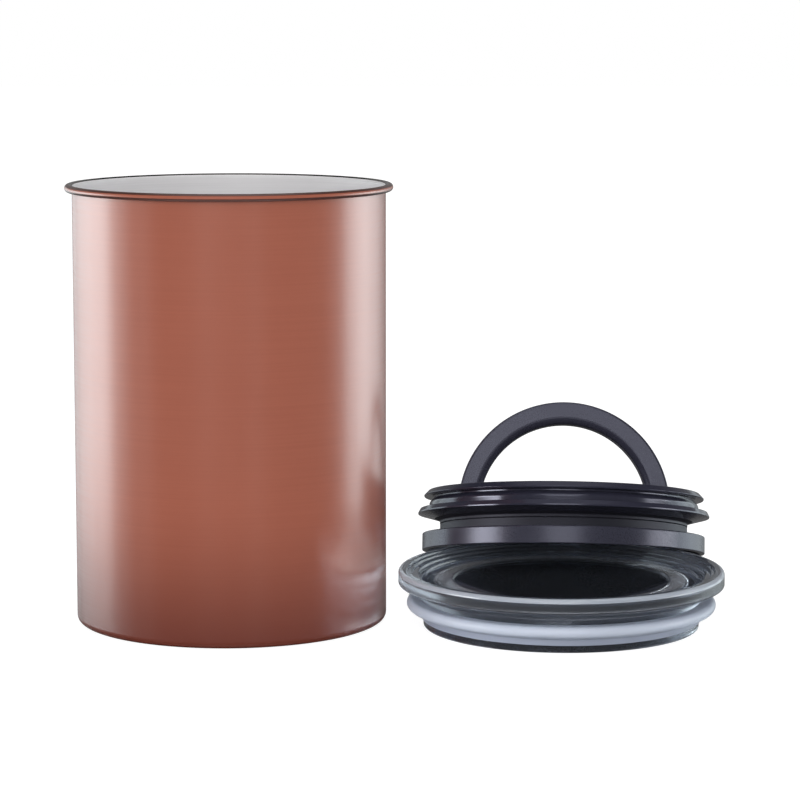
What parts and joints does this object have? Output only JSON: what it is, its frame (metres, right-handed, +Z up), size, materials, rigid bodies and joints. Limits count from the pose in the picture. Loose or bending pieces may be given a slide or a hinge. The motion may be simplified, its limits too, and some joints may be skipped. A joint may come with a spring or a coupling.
{
  "type": "coffee canister with valve",
  "caption": "Round steel coffee canister with a clear outer lid and a black plunger lid whose folding handle opens and shuts a vent valve, lids set down beside it.",
  "frame": {"origin": "centre of the canister base, on the table", "axes": "+Z up along the canister axis, +X towards the lids set down beside it, +Y away from the viewer of the picture"},
  "size_m": [0.2571, 0.1988, 0.1708],
  "materials": {
    "copper_lacquer": "satin copper lacquer over brushed steel outside, bare brushed steel inside",
    "smoke_clear": "clear moulded plastic with a smoke tint, polished",
    "pale_silicone": "translucent silicone",
    "black_plastic": "fine moulded grain, charcoal black",
    "black_rubber": "smooth black rubber with a soft sheen",
    "grey_plastic": "plain moulded grey",
    "bare_steel": "drawn stainless steel"
  },
  "bodies": {
    "canister": {"canister_shell": "copper_lacquer"},
    "outer_lid": {"outer_lid": "smoke_clear", "outer_lid_gasket": "pale_silicone"},
    "inner_lid": {"guide_ring": "black_plastic", "inner_lid_dish": "black_plastic", "wiper_seal": "black_rubber", "valve_spring": "bare_steel"},
    "handle": {"handle": "black_plastic", "handle_axle": "bare_steel", "valve_cam": "grey_plastic"},
    "valve": {"valve_cap": "grey_plastic", "valve_stem": "grey_plastic", "valve_seal": "pale_silicone"}
  },
  "joints": [
    {"name": "outer_lid_lift", "type": "slide", "parent": "canister", "child": "outer_lid", "axis": [0, 0, 1], "range_m": [0, 0.2]},
    {"name": "inner_lid_lift", "type": "slide", "parent": "outer_lid", "child": "inner_lid", "axis": [0, 0, 1], "range_m": [0, 0.15]},
    {"name": "handle_fold", "type": "hinge", "parent": "inner_lid", "child": "handle", "pos_m": [0.13363, 0.06495, 0.03229], "axis": [-0.9998, 0.0023, 0.0181], "range_deg": [0, 90]},
    {"name": "valve_close", "type": "slide", "parent": "inner_lid", "child": "valve", "axis": [0.0181, 0.2463, 0.969], "range_m": [0, 0.0016]}
  ],
  "couplings": [
    {"joint": "valve_close", "follows": "handle_fold", "m_per_rad": 0.0010185}
  ]
}
